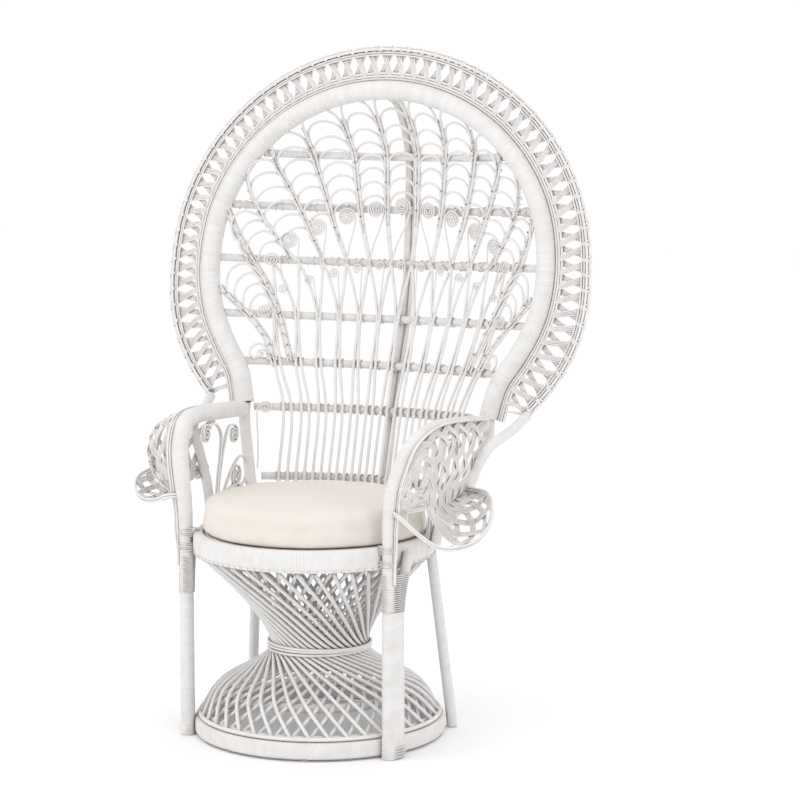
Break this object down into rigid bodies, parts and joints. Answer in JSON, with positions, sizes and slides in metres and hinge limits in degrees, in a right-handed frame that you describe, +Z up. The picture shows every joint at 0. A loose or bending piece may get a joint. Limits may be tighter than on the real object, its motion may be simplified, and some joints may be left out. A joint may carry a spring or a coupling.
{
  "type": "peacock chair",
  "caption": "Painted rattan peacock chair with a tall hooped fan back, laced border, woven wings at the arms, round loose cushion and an hourglass base of crossing poles",
  "frame": {"origin": "on the floor, below the middle of the overall width and depth", "axes": "+Z up, the sitter faces -Y, +X to the sitter's left as seen on the right of a front view"},
  "size_m": [1.0398, 0.749, 1.4805],
  "materials": {
    "painted_rattan": "satin white paint over rattan",
    "cushion_cloth": "plain woven cotton"
  },
  "bodies": {
    "frame": {"seat_ring": "painted_rattan", "seat_deck": "painted_rattan", "base_ring": "painted_rattan", "glide_front_left": "painted_rattan", "glide_front_right": "painted_rattan", "glide_rear_left": "painted_rattan", "glide_rear_right": "painted_rattan", "outer_poles": "painted_rattan", "inner_poles": "painted_rattan", "shoulder_hoop": "painted_rattan", "waist_binding": "painted_rattan", "back_hoop": "painted_rattan", "border_rim": "painted_rattan", "border_edging": "painted_rattan", "border_lace": "painted_rattan", "arm_post_right": "painted_rattan", "arm_post_left": "painted_rattan", "second_pole_right": "painted_rattan", "second_pole_left": "painted_rattan", "rear_leg_right": "painted_rattan", "rear_leg_left": "painted_rattan", "rear_arm_post_right": "painted_rattan", "rear_arm_post_left": "painted_rattan", "wing_pole_right": "painted_rattan", "wing_pole_left": "painted_rattan", "rung_1": "painted_rattan", "rung_2": "painted_rattan", "rung_3": "painted_rattan", "rung_4": "painted_rattan", "rung_5": "painted_rattan", "rung_6": "painted_rattan", "rung_7": "painted_rattan", "back_spine": "painted_rattan", "thin_spine": "painted_rattan", "fan_stakes": "painted_rattan", "fan_crown": "painted_rattan", "wing_edge_reed_right": "painted_rattan", "wing_edge_reed_left": "painted_rattan", "wing_rim_right": "painted_rattan", "wing_rim_left": "painted_rattan", "wing_weave_right": "painted_rattan", "wing_weave_left": "painted_rattan", "arm_scrollwork_right": "painted_rattan", "arm_scrollwork_left": "painted_rattan"},
    "cushion": {"seat_cushion": "cushion_cloth"}
  },
  "joints": [
    {"name": "cushion_lift", "type": "slide", "parent": "frame", "child": "cushion", "axis": [0, 0, 1], "range_m": [0, 0.3]}
  ]
}
